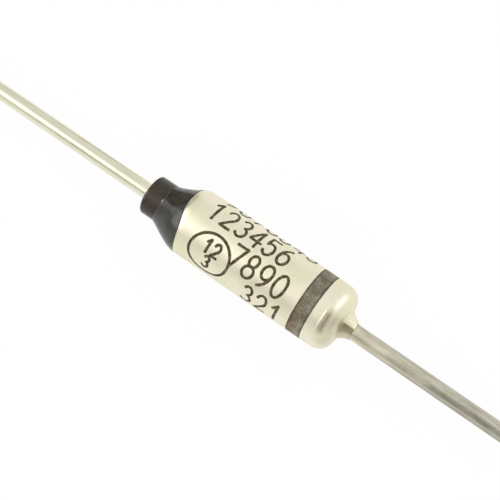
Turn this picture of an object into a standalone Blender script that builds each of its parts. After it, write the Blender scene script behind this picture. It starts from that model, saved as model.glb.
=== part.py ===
# Axial thermal fuse of the pellet type, at its real size in metres.
# +X runs along the axis, towards the lead that is staked into the case.
# The origin lies on the axis, half way between the two lead ends.
# The fuse is intact: the pellet is solid and both springs are compressed.

import bmesh
import bpy
from math import asin, cos, pi, radians, sin, tanh

# Case: a drawn cup with a curled mouth and a neck round its own lead
CASE_RADIUS = 0.0021
CASE_LENGTH = 0.01147         # curled mouth to flat end face
CASE_WALL = 0.00028
CASE_END_WALL = 0.0003
CASE_END_ROUNDING = 0.00095
MOUTH_STEP = 0.00008          # extra bore where the bushing goes in
CURL_RADIUS = 0.00085         # outer side of the curl
CURL_ANGLE = 75.0             # degrees that the wall is turned in
NECK_LENGTH = 0.00068
END_FACE_WIDTH = 0.00015
NECK_WAIST_HEIGHT = 0.00021
NECK_WAIST_DEPTH = 0.00002
NECK_TIP_WALL = 0.00004

# Leads: round wire, headed at the inner end
LEAD_RADIUS = 0.0005
LEAD_FREE_LENGTH = 0.03378
LEAD_END_CHAMFER = 0.00006
RIVET_HEAD_MARGIN = 0.00002
RIVET_HEAD_THICKNESS = 0.00025
CONTACT_HEAD_RADIUS = 0.0008
CONTACT_HEAD_HEIGHT = 0.00125
CONTACT_DOME = 0.00012
HEAD_EDGE = 0.00006

# Bushing: a ceramic sleeve with a wide flange inside the mouth
NOSE_STEP = 0.00003           # from the shoulder's inner edge down to the nose
NOSE_LENGTH = 0.00229         # stands out of the case's mouth
NOSE_ROUNDING = 0.0002
FLANGE_LENGTH = 0.0027
FLANGE_CHAMFER = 0.00015

# Pellet and the two pressure discs
PELLET_LENGTH = 0.0023
PELLET_CHAMFER = 0.0003
DISC_THICKNESS = 0.0002
DISC_EDGE = 0.00004

# Star contact: a dished sheet with slots between its fingers
STAR_THICKNESS = 0.00012
STAR_RIM_WIDTH = 0.00052      # from the flat centre out to the bore
STAR_BEND = 0.00035
STAR_FINGER_LENGTH = 0.00062
STAR_FINGERS = 8
STAR_SLOT_ROOT_WIDTH = 0.0002
STAR_SLOT_MOUTH_WIDTH = 0.0005
STAR_SLOT_INSET = 0.00025     # how far the slots cut into the flat centre

# Springs: round wire with one closed turn at each end
BIAS_WIRE_RADIUS = 0.00018
BIAS_ACTIVE_TURNS = 4.0
TRIP_WIRE_RADIUS = 0.0001
TRIP_BORE_CLEARANCE = 0.00022
TRIP_HEAD_CLEARANCE = 0.00015
TRIP_ACTIVE_TURNS = 2.0

# Resin: a hand-laid cone from the bushing's nose up over the curled mouth
RESIN_NOSE_COVER = 0.0012     # length of nose that the resin covers
RESIN_FILM = 0.00002          # thickness at its two feather edges
RESIN_EDGE_HIGH = 38.0        # degrees round the curl, where the resin is thin
RESIN_EDGE_LOW = 0.0          # and where it pooled before it set
RESIN_POOL_SIDE = 145.0       # degrees round the axis, from +Y towards +Z
RESIN_POOL_HALF_WIDTH = 46.0  # degrees to each side of the pool's middle
RESIN_POOL_SOFTNESS = 0.285   # how slowly the edge climbs out of the pool
RESIN_BULGE = 0.00027
RESIN_HOLLOW = 0.00005
RESIN_WOBBLE = 0.00003

# Clearances between pieces that touch on the real fuse
SEAT_GAP = 0.00002
LEAD_FIT = 0.00003
BUSHING_FIT = 0.00003
PELLET_FIT = 0.00006
CONTACT_FIT = 0.00002
COIL_GAP = 0.00002

# Facets
ROUND_STEPS = 40
WIRE_STEPS = 32
COIL_STEPS = 18
MERGE_DISTANCE = 0.000001

# Radii that follow from the sizes above
case_bore = CASE_RADIUS - CASE_WALL
mouth_bore = case_bore + MOUTH_STEP
mouth_wall = CASE_RADIUS - mouth_bore
curl_centre_radius = CASE_RADIUS - CURL_RADIUS
lead_hole_radius = LEAD_RADIUS + LEAD_FIT
end_flat_radius = CASE_RADIUS - CASE_END_ROUNDING
neck_base_radius = end_flat_radius - END_FACE_WIDTH
inner_rounding = CASE_END_ROUNDING - CASE_WALL
floor_radius = case_bore - inner_rounding
rivet_head_radius = floor_radius - RIVET_HEAD_MARGIN
nose_radius = curl_centre_radius - NOSE_STEP
shoulder_radius = CURL_RADIUS - mouth_wall - BUSHING_FIT
pellet_radius = case_bore - PELLET_FIT
star_flat_radius = case_bore - STAR_RIM_WIDTH
slot_root_radius = star_flat_radius - STAR_SLOT_INSET
bias_coil_radius = star_flat_radius - BIAS_WIRE_RADIUS
trip_wide_radius = case_bore - TRIP_BORE_CLEARANCE - TRIP_WIRE_RADIUS
trip_narrow_radius = CONTACT_HEAD_RADIUS + TRIP_HEAD_CLEARANCE + TRIP_WIRE_RADIUS

# Stations along the axis, from the isolated lead's end to the case lead's end
overall_length = 2 * LEAD_FREE_LENGTH + NOSE_LENGTH + CASE_LENGTH + NECK_LENGTH
isolated_end_x = -overall_length / 2
nose_tip_x = isolated_end_x + LEAD_FREE_LENGTH
mouth_x = nose_tip_x + NOSE_LENGTH
curl_centre_x = mouth_x + CURL_RADIUS * sin(radians(CURL_ANGLE))
shoulder_x = curl_centre_x - shoulder_radius
flange_face_x = shoulder_x + FLANGE_LENGTH
ledge_x = flange_face_x + SEAT_GAP
head_base_x = flange_face_x + SEAT_GAP
head_face_x = head_base_x + CONTACT_HEAD_HEIGHT
star_x = head_face_x + SEAT_GAP + STAR_THICKNESS / 2
contact_disc_x = star_x + STAR_THICKNESS / 2 + SEAT_GAP
bias_start_x = contact_disc_x + DISC_THICKNESS
case_end_x = mouth_x + CASE_LENGTH
neck_tip_x = case_end_x + NECK_LENGTH
case_end_lead_x = neck_tip_x + LEAD_FREE_LENGTH
case_floor_x = case_end_x - CASE_END_WALL
rivet_base_x = case_floor_x - SEAT_GAP
rivet_face_x = rivet_base_x - RIVET_HEAD_THICKNESS
pellet_far_x = rivet_face_x - SEAT_GAP
pellet_near_x = pellet_far_x - PELLET_LENGTH
pellet_disc_x = pellet_near_x - SEAT_GAP - DISC_THICKNESS
bias_end_x = pellet_disc_x


def clear_scene():
    for old in list(bpy.data.objects):
        bpy.data.objects.remove(old, do_unlink=True)


def new_collection(name):
    made = bpy.data.collections.new(name)
    bpy.context.scene.collection.children.link(made)
    return made


def new_material(name, colour, roughness, metallic):
    made = bpy.data.materials.new(name)
    made.use_nodes = True
    shader = made.node_tree.nodes["Principled BSDF"]
    shader.inputs["Base Color"].default_value = (*colour, 1.0)
    shader.inputs["Roughness"].default_value = roughness
    shader.inputs["Metallic"].default_value = metallic
    made.diffuse_color = (*colour, 1.0)
    return made


def add_object(name, data, collection, material):
    made = bpy.data.objects.new(name, data)
    collection.objects.link(made)
    if material is not None:
        data.materials.append(material)
    return made


# Points of a round corner, from one angle to another, with 0 pointing outwards
# from the axis and 90 degrees pointing towards the isolated lead
def corner_points(centre_x, centre_radius, radius, start, end, count):
    points = []
    for step in range(count + 1):
        angle = radians(start + (end - start) * step / count)
        points.append((centre_x - radius * sin(angle), centre_radius + radius * cos(angle)))
    return points


def curl_point(radius, angle):
    return corner_points(curl_centre_x, curl_centre_radius, radius, angle, angle, 1)[0]


# A turned piece: the profile is a list of (x, radius) that runs along the outer
# side from the case lead's end towards the isolated lead's end
def turned(name, profile, collection, material, steps=ROUND_STEPS, closed=False):
    mesh = bpy.data.meshes.new(name)
    points = [(radius, 0.0, x) for x, radius in profile]
    edges = [(index, index + 1) for index in range(len(points) - 1)]
    if closed:
        edges.append((len(points) - 1, 0))
    mesh.from_pydata(points, edges, [])
    piece = add_object(name, mesh, collection, material)
    piece.rotation_euler = (0.0, pi / 2, 0.0)
    screw = piece.modifiers.new("turn", "SCREW")
    screw.axis = "Z"
    screw.angle = 2 * pi
    screw.steps = steps
    screw.render_steps = steps
    screw.use_merge_vertices = True
    screw.merge_threshold = MERGE_DISTANCE
    screw.use_smooth_shade = True
    return piece


def make_case(collection, material):
    profile = []
    # neck, from its thin tip down to the end face
    profile.append((neck_tip_x, lead_hole_radius))
    tip_radius = lead_hole_radius + NECK_TIP_WALL
    waist_x = case_end_x + NECK_WAIST_HEIGHT
    waist_radius = (neck_base_radius + tip_radius) / 2 - NECK_WAIST_DEPTH
    for step in range(7):
        t = step / 6
        x = (1 - t) ** 2 * neck_tip_x + 2 * t * (1 - t) * waist_x + t ** 2 * case_end_x
        radius = (1 - t) ** 2 * tip_radius + 2 * t * (1 - t) * waist_radius + t ** 2 * neck_base_radius
        profile.append((x, radius))
    # outer side: rounded end, straight wall and curled mouth
    end_centre_x = case_end_x - CASE_END_ROUNDING
    profile += corner_points(end_centre_x, end_flat_radius, CASE_END_ROUNDING, -90, 0, 8)
    profile += corner_points(curl_centre_x, curl_centre_radius, CURL_RADIUS, 0, CURL_ANGLE, 6)
    # inner side: curled mouth, ledge for the bushing, bore and floor
    profile += corner_points(curl_centre_x, curl_centre_radius, CURL_RADIUS - mouth_wall, CURL_ANGLE, 0, 6)
    profile.append((ledge_x, mouth_bore))
    profile.append((ledge_x, case_bore))
    inner_centre_x = case_floor_x - inner_rounding
    profile += corner_points(inner_centre_x, floor_radius, inner_rounding, 0, -90, 5)
    profile.append((case_floor_x, lead_hole_radius))
    return turned("case", profile, collection, material, closed=True)


def make_case_lead(collection, material):
    profile = [
        (case_end_lead_x, 0.0),
        (case_end_lead_x, LEAD_RADIUS - LEAD_END_CHAMFER),
        (case_end_lead_x - LEAD_END_CHAMFER, LEAD_RADIUS),
        (rivet_base_x, LEAD_RADIUS),
        (rivet_base_x, rivet_head_radius - HEAD_EDGE),
        (rivet_base_x - HEAD_EDGE, rivet_head_radius),
        (rivet_face_x + HEAD_EDGE, rivet_head_radius),
        (rivet_face_x, rivet_head_radius - HEAD_EDGE),
        (rivet_face_x, 0.0),
    ]
    return turned("case_lead", profile, collection, material, WIRE_STEPS)


def make_isolated_lead(collection, material):
    profile = [
        (head_face_x, 0.0),
        (head_face_x - CONTACT_DOME / 4, CONTACT_HEAD_RADIUS / 2),
        (head_face_x - CONTACT_DOME, CONTACT_HEAD_RADIUS - HEAD_EDGE),
        (head_face_x - CONTACT_DOME - HEAD_EDGE, CONTACT_HEAD_RADIUS),
        (head_base_x + HEAD_EDGE, CONTACT_HEAD_RADIUS),
        (head_base_x, CONTACT_HEAD_RADIUS - HEAD_EDGE),
        (head_base_x, LEAD_RADIUS),
        (isolated_end_x + LEAD_END_CHAMFER, LEAD_RADIUS),
        (isolated_end_x, LEAD_RADIUS - LEAD_END_CHAMFER),
        (isolated_end_x, 0.0),
    ]
    return turned("isolated_lead", profile, collection, material, WIRE_STEPS)


def make_bushing(collection, material):
    flange_radius = mouth_bore - BUSHING_FIT
    profile = [
        (flange_face_x, lead_hole_radius),
        (flange_face_x, flange_radius - FLANGE_CHAMFER),
        (flange_face_x - FLANGE_CHAMFER, flange_radius),
    ]
    profile += corner_points(curl_centre_x, curl_centre_radius, shoulder_radius, 0, 90, 5)
    profile.append((shoulder_x, nose_radius))
    tip_centre_x = nose_tip_x + NOSE_ROUNDING
    profile += corner_points(tip_centre_x, nose_radius - NOSE_ROUNDING, NOSE_ROUNDING, 0, 90, 4)
    profile.append((nose_tip_x, lead_hole_radius))
    return turned("bushing", profile, collection, material, closed=True)


def make_pellet(collection, material):
    profile = [
        (pellet_far_x, 0.0),
        (pellet_far_x, pellet_radius - PELLET_CHAMFER),
        (pellet_far_x - PELLET_CHAMFER, pellet_radius),
        (pellet_near_x + PELLET_CHAMFER, pellet_radius),
        (pellet_near_x, pellet_radius - PELLET_CHAMFER),
        (pellet_near_x, 0.0),
    ]
    return turned("thermal_pellet", profile, collection, material)


def make_disc(name, near_x, radius, collection, material):
    far_x = near_x + DISC_THICKNESS
    profile = [
        (far_x, 0.0),
        (far_x, radius - DISC_EDGE),
        (far_x - DISC_EDGE, radius),
        (near_x + DISC_EDGE, radius),
        (near_x, radius - DISC_EDGE),
        (near_x, 0.0),
    ]
    return turned(name, profile, collection, material)


# One slot of the star contact: a wedge with a round root, seen along the axis
def slot_outline(outer_radius):
    root_half = STAR_SLOT_ROOT_WIDTH / 2
    mouth_half = STAR_SLOT_MOUTH_WIDTH / 2
    outline = [(outer_radius, mouth_half)]
    for step in range(7):
        angle = pi / 2 + pi * step / 6
        outline.append((slot_root_radius + root_half * cos(angle), root_half * sin(angle)))
    outline.append((outer_radius, -mouth_half))
    return outline


def make_star_cutter(collection):
    mesh = bpy.data.meshes.new("star_slots")
    shape = bmesh.new()
    outline = slot_outline(CASE_RADIUS)
    low_z = star_x - STAR_BEND
    high_z = star_x + STAR_BEND + 2 * STAR_FINGER_LENGTH
    for finger in range(STAR_FINGERS):
        turn = 2 * pi * (finger + 0.5) / STAR_FINGERS
        ring = []
        for x, y in outline:
            place = (x * cos(turn) - y * sin(turn), x * sin(turn) + y * cos(turn), low_z)
            ring.append(shape.verts.new(place))
        base = shape.faces.new(ring)
        grown = bmesh.ops.extrude_face_region(shape, geom=[base])
        top = [item for item in grown["geom"] if isinstance(item, bmesh.types.BMVert)]
        bmesh.ops.translate(shape, verts=top, vec=(0.0, 0.0, high_z - low_z))
    bmesh.ops.recalc_face_normals(shape, faces=shape.faces)
    shape.to_mesh(mesh)
    shape.free()
    cutter = add_object("star_slots", mesh, collection, None)
    cutter.rotation_euler = (0.0, pi / 2, 0.0)
    cutter.hide_render = True
    cutter.display_type = "WIRE"
    return cutter


def make_star_contact(collection, cutters, material):
    # middle of the sheet, from the fingertips in to the flat centre
    rim_radius = case_bore - CONTACT_FIT - STAR_THICKNESS / 2
    bend_x = star_x + STAR_BEND
    tip_x = bend_x + STAR_FINGER_LENGTH
    bend_radius = star_flat_radius + STAR_BEND
    profile = [
        (tip_x, rim_radius - STAR_THICKNESS / 2),
        (tip_x - STAR_FINGER_LENGTH / 4, rim_radius),
        (tip_x - STAR_FINGER_LENGTH / 2, (2 * rim_radius + bend_radius) / 3),
    ]
    for step in range(6):
        angle = pi / 2 * step / 5
        profile.append((bend_x - STAR_BEND * sin(angle), star_flat_radius + STAR_BEND * cos(angle)))
    profile.append((star_x, 0.0))
    star = turned("star_contact", profile, collection, material)
    sheet = star.modifiers.new("sheet", "SOLIDIFY")
    sheet.thickness = STAR_THICKNESS
    sheet.offset = 0.0
    slots = star.modifiers.new("slots", "BOOLEAN")
    slots.operation = "DIFFERENCE"
    slots.solver = "EXACT"
    slots.object = make_star_cutter(cutters)
    return star


# A compression spring along +X between two faces, with one closed turn at each
# end and its coil radius running evenly from the first face to the second
def make_spring(name, start_x, end_x, radii, wire_radius, active_turns, collection, material):
    closed_pitch = 2 * wire_radius + COIL_GAP
    first_x = start_x + wire_radius + SEAT_GAP
    last_x = end_x - wire_radius - SEAT_GAP
    active_pitch = (last_x - first_x - 2 * closed_pitch) / active_turns
    turns = active_turns + 2
    count = int(round(turns * COIL_STEPS))
    curve = bpy.data.curves.new(name, "CURVE")
    curve.dimensions = "3D"
    curve.bevel_depth = wire_radius
    curve.bevel_resolution = 2
    curve.use_fill_caps = True
    wire = curve.splines.new("POLY")
    wire.points.add(count)
    for index in range(count + 1):
        turn = turns * index / count
        x = first_x + closed_pitch * min(turn, 1.0)
        x += active_pitch * min(max(turn - 1.0, 0.0), active_turns)
        x += closed_pitch * max(turn - 1.0 - active_turns, 0.0)
        radius = radii[0] + (radii[1] - radii[0]) * index / count
        angle = 2 * pi * turn
        wire.points[index].co = (x, radius * cos(angle), radius * sin(angle), 1.0)
    return add_object(name, curve, collection, material)


# How far a place lies towards the side where the resin pooled, from -1 to 1, at an
# angle round the axis that is 0 at +Y and 90 degrees at +Z
def resin_lean(angle):
    return cos(angle - radians(RESIN_POOL_SIDE))


# Where the resin ends on the curl: a tongue whose edge lies low within the pool's
# half-width and climbs to the high edge on both sides of it
def resin_edge(lean):
    past = (lean - cos(radians(RESIN_POOL_HALF_WIDTH))) / RESIN_POOL_SOFTNESS
    pooled = (1 + tanh(past)) / 2
    return RESIN_EDGE_HIGH + (RESIN_EDGE_LOW - RESIN_EDGE_HIGH) * pooled


# The resin's section at one angle: its skin from the nose up to the edge on the
# curl, then back under the curl, past the shoulder and along the nose
def resin_section(angle):
    lean = resin_lean(angle)
    wobble = RESIN_WOBBLE * sin(3 * angle + 1.0)
    edge = resin_edge(lean)
    skin_radius = CURL_RADIUS + SEAT_GAP + RESIN_FILM
    nose_inner = nose_radius + SEAT_GAP
    start = (mouth_x - RESIN_NOSE_COVER + wobble, nose_inner + RESIN_FILM)
    end = curl_point(skin_radius, edge)
    rise = (end[1] - start[1]) / 3
    run = (end[0] - start[0]) / 3
    bulge = RESIN_BULGE * (1 + lean) / 2 - RESIN_HOLLOW
    first = (start[0] + run, start[1] + rise - bulge / 4)
    second = (end[0] - run, end[1] - rise + bulge)
    section = []
    for step in range(8):
        t = step / 7
        weights = ((1 - t) ** 3, 3 * t * (1 - t) ** 2, 3 * t ** 2 * (1 - t), t ** 3)
        corners = (start, first, second, end)
        x = sum(weight * point[0] for weight, point in zip(weights, corners))
        radius = sum(weight * point[1] for weight, point in zip(weights, corners))
        section.append((x, radius))
    under_radius = CURL_RADIUS + SEAT_GAP
    past_rim = CURL_ANGLE + 180 / pi * asin(SEAT_GAP / (CURL_RADIUS - mouth_wall))
    for step in range(5):
        section.append(curl_point(under_radius, edge + (past_rim - edge) * step / 4))
    section.append(curl_point(CURL_RADIUS - mouth_wall, past_rim))
    section.append((shoulder_x - SEAT_GAP, curl_centre_radius))
    section.append((shoulder_x - SEAT_GAP, nose_inner))
    section.append((start[0], nose_inner))
    return section


def make_resin(collection, material):
    mesh = bpy.data.meshes.new("resin_seal")
    shape = bmesh.new()
    rings = []
    for step in range(ROUND_STEPS):
        angle = 2 * pi * step / ROUND_STEPS
        ring = []
        for x, radius in resin_section(angle):
            ring.append(shape.verts.new((x, radius * cos(angle), radius * sin(angle))))
        rings.append(ring)
    for index, ring in enumerate(rings):
        following = rings[(index + 1) % ROUND_STEPS]
        for place in range(len(ring)):
            after = (place + 1) % len(ring)
            shape.faces.new((ring[place], ring[after], following[after], following[place]))
    bmesh.ops.recalc_face_normals(shape, faces=shape.faces)
    shape.to_mesh(mesh)
    shape.free()
    mesh.shade_smooth()
    return add_object("resin_seal", mesh, collection, material)


def main():
    clear_scene()
    fuse = new_collection("thermal_fuse")
    cutters = new_collection("cutters")

    plated = new_material("plated_case", (0.79, 0.74, 0.55), 0.42, 1.0)
    tinned = new_material("tinned_wire", (0.66, 0.63, 0.53), 0.35, 1.0)
    bright = new_material("silvered_wire", (0.82, 0.79, 0.66), 0.22, 1.0)
    ceramic = new_material("brown_ceramic", (0.065, 0.050, 0.040), 0.45, 0.0)
    resin = new_material("dark_resin", (0.085, 0.085, 0.072), 0.25, 0.0)
    wax = new_material("pellet_compound", (0.72, 0.70, 0.62), 0.6, 0.0)
    brass = new_material("pressed_brass", (0.78, 0.62, 0.33), 0.35, 1.0)
    silver = new_material("silver_sheet", (0.90, 0.89, 0.86), 0.2, 1.0)
    steel = new_material("spring_steel", (0.55, 0.55, 0.56), 0.3, 1.0)

    make_case(fuse, plated)
    make_case_lead(fuse, tinned)
    make_isolated_lead(fuse, bright)
    make_bushing(fuse, ceramic)
    make_resin(fuse, resin)
    make_pellet(fuse, wax)
    make_disc("pellet_disc", pellet_disc_x, pellet_radius, fuse, brass)
    make_disc("contact_disc", contact_disc_x, star_flat_radius, fuse, brass)
    make_star_contact(fuse, cutters, silver)
    bias_radii = (bias_coil_radius, bias_coil_radius)
    make_spring("bias_spring", bias_start_x, bias_end_x, bias_radii,
                BIAS_WIRE_RADIUS, BIAS_ACTIVE_TURNS, fuse, steel)
    trip_radii = (trip_wide_radius, trip_narrow_radius)
    make_spring("trip_spring", flange_face_x, star_x - STAR_THICKNESS / 2, trip_radii,
                TRIP_WIRE_RADIUS, TRIP_ACTIVE_TURNS, fuse, steel)


main()
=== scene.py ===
import math
import bpy
import numpy as np
from mathutils import Matrix, Vector


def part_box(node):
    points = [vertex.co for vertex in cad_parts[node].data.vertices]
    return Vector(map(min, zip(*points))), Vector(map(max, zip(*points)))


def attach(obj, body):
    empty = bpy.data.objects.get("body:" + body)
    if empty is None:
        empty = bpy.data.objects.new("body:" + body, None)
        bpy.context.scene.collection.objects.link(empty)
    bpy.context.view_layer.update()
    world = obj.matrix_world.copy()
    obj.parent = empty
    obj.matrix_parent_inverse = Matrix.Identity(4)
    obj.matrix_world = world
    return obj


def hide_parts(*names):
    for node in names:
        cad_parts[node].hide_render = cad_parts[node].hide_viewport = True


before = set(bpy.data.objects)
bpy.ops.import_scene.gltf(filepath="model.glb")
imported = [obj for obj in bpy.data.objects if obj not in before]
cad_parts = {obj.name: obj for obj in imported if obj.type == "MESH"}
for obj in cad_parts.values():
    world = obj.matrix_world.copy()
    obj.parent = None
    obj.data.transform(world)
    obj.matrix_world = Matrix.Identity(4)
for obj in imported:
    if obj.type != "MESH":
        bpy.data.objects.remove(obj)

print("frame loaded with", len(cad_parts), "nodes")
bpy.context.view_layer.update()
mm = 0.001  # every size below is in millimetres, along the fuse's own axis X


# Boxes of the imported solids, in millimetres
def nodeBox(node):
    low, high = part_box(node)
    return np.array(low) / mm, np.array(high) / mm


caseLow, caseHigh = nodeBox("case")
bushLow, bushHigh = nodeBox("bushing")
wireLow, wireHigh = nodeBox("case_lead")
isolatedLow, isolatedHigh = nodeBox("isolated_lead")
caseRadius = caseHigh[1]


# Faces of a grid of rows by columns: each quad joins four neighbours, and the
# grid may close on itself along either direction
def gridFaces(rows, cols, wrapRows, wrapCols):
    row = np.arange(rows if wrapRows else rows - 1)
    col = np.arange(cols if wrapCols else cols - 1)
    row, col = np.meshgrid(row, col, indexing="ij")
    nextRow = (row + 1) % rows
    nextCol = (col + 1) % cols
    corners = [row * cols + col, row * cols + nextCol, nextRow * cols + nextCol, nextRow * cols + col]
    return np.stack(corners, axis=-1).reshape(-1, 4)


# A fan of triangles that joins one ring of a grid to a single pole point
def poleFaces(ringStart, cols, pole, outerFirst):
    col = np.arange(cols)
    here = ringStart + col
    after = ringStart + (col + 1) % cols
    pair = (after, here) if outerFirst else (here, after)
    return np.stack([pair[0], pair[1], np.full(cols, pole)], axis=-1)


# Six times the volume inside a closed mesh: the sum of each face fan's triple products
def signedVolume(points, faces):
    total = 0.0
    for second in range(1, faces.shape[1] - 1):
        a = points[faces[:, 0]]
        b = points[faces[:, second]]
        c = points[faces[:, second + 1]]
        total += np.einsum("ij,ij->i", a, np.cross(b, c)).sum()
    return total


# Turns the faces of a closed mesh outwards
def facingOut(points, faceSets):
    centred = points - points.mean(axis=0)
    if sum(signedVolume(centred, faces) for faces in faceSets) < 0:
        return [faces[:, ::-1] for faces in faceSets]
    return faceSets


# Puts arrays of points (millimetres) and faces into a new smooth object
def addPiece(name, points, faceSets, material, sharpAngle=35):
    mesh = bpy.data.meshes.new(name)
    faces = [face for group in facingOut(points, faceSets) for face in group.tolist()]
    mesh.from_pydata((points * mm).tolist(), [], faces)
    mesh.validate()
    mesh.shade_smooth()
    mesh.set_sharp_from_angle(angle=math.radians(sharpAngle))
    mesh.materials.append(material)
    piece = bpy.data.objects.new(name, mesh)
    bpy.context.scene.collection.objects.link(piece)
    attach(piece, "root")
    return piece


# A piece from a grid that closes along both directions
def addRing(name, grid, material, sharpAngle=35):
    faces = gridFaces(*grid.shape[:2], True, True)
    return addPiece(name, grid.reshape(-1, 3), [faces], material, sharpAngle)


# Round corner of a section, as (x, radius): x = centre - r sin(a), radius = centre + r cos(a)
def corner(centreX, centreRadius, radius, start, end, count):
    angle = np.radians(np.linspace(start, end, count + 1))
    return np.stack([centreX - radius * np.sin(angle), centreRadius + radius * np.cos(angle)], axis=-1)


def straight(start, end, count):
    t = np.linspace(0, 1, count + 1)[:, None]
    return np.array(start) * (1 - t) + np.array(end) * t


# Joins pieces of a section and drops points that repeat
def joinSection(parts):
    section = np.concatenate([np.atleast_2d(np.array(part, float)) for part in parts])
    apart = np.linalg.norm(np.diff(section, axis=0), axis=1) > 1e-5
    return section[np.concatenate([[True], apart])]


# Points round the axis: y = -radius sin(phi), z = radius cos(phi), where phi 0 faces up
def around(x, radius, phi):
    return np.stack([x, -radius * np.sin(phi), radius * np.cos(phi)], axis=-1)


# A turned surface: a section (x, radius) carried round the axis.
# bump(x, radius, phi) gives how far the surface stands out of its true radius
def turnedGrid(section, steps, bump):
    phi = np.linspace(0, 2 * np.pi, steps, endpoint=False)[None, :]
    x = np.repeat(section[:, :1], steps, axis=1)
    radius = np.repeat(section[:, 1:], steps, axis=1)
    return around(x, radius + bump(x, radius, phi), phi)


# Sum of a few sine waves with fixed random phases: a quiet unevenness from -1 to 1
def unevenness(seed, x, phi, xWaves, phiWaves):
    source = np.random.RandomState(seed)
    total = np.zeros(np.broadcast(x, phi).shape)
    for index in range(len(xWaves)):
        phaseA, phaseB = source.uniform(0, 2 * np.pi, 2)
        total = total + np.sin(x * xWaves[index] + phaseA) * np.sin(phi * phiWaves[index] + phaseB)
    return total / len(xWaves)


print("helpers ready")


# Gives a node's inputs plain values or other nodes' sockets
def feed(tree, node, values):
    for socket, value in zip(node.inputs, values):
        if isinstance(value, (int, float, tuple)):
            socket.default_value = value
        else:
            tree.links.new(value, socket)


def calc(tree, operation, *values):
    node = tree.nodes.new("ShaderNodeMath")
    node.operation = operation
    feed(tree, node, values)
    return node.outputs["Value"]


def inverse(tree, value):
    return calc(tree, "SUBTRACT", 1.0, value)


# Moves a value towards a level, in the share that the window gives
def blendLevel(tree, value, level, window):
    change = calc(tree, "SUBTRACT", level, value)
    return calc(tree, "ADD", value, calc(tree, "MULTIPLY", window, change))


# The three coordinates of one kind, each as its own socket
def coordinates(tree, kind):
    split = tree.nodes.new("ShaderNodeSeparateXYZ")
    tree.links.new(tree.nodes.new("ShaderNodeTexCoord").outputs[kind], split.inputs["Vector"])
    return split.outputs


# Mixes two shaders by the share of the second
def mixShaders(tree, share, first, second):
    node = tree.nodes.new("ShaderNodeMixShader")
    feed(tree, node, (share, first, second))
    return node.outputs[0]


# A white emission or background of some strength
def whiteShader(tree, kind, strength):
    node = tree.nodes.new(kind)
    feed(tree, node, ((1, 1, 1, 1), strength))
    return node


# Rises smoothly from 0 to 1 as the value passes an edge, over the soft width
def rise(tree, value, edge, soft):
    node = tree.nodes.new("ShaderNodeMapRange")
    node.interpolation_type = "SMOOTHSTEP"
    node.inputs["From Min"].default_value = edge - soft / 2
    node.inputs["From Max"].default_value = edge + soft / 2
    tree.links.new(value, node.inputs["Value"])
    return node.outputs["Result"]


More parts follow.
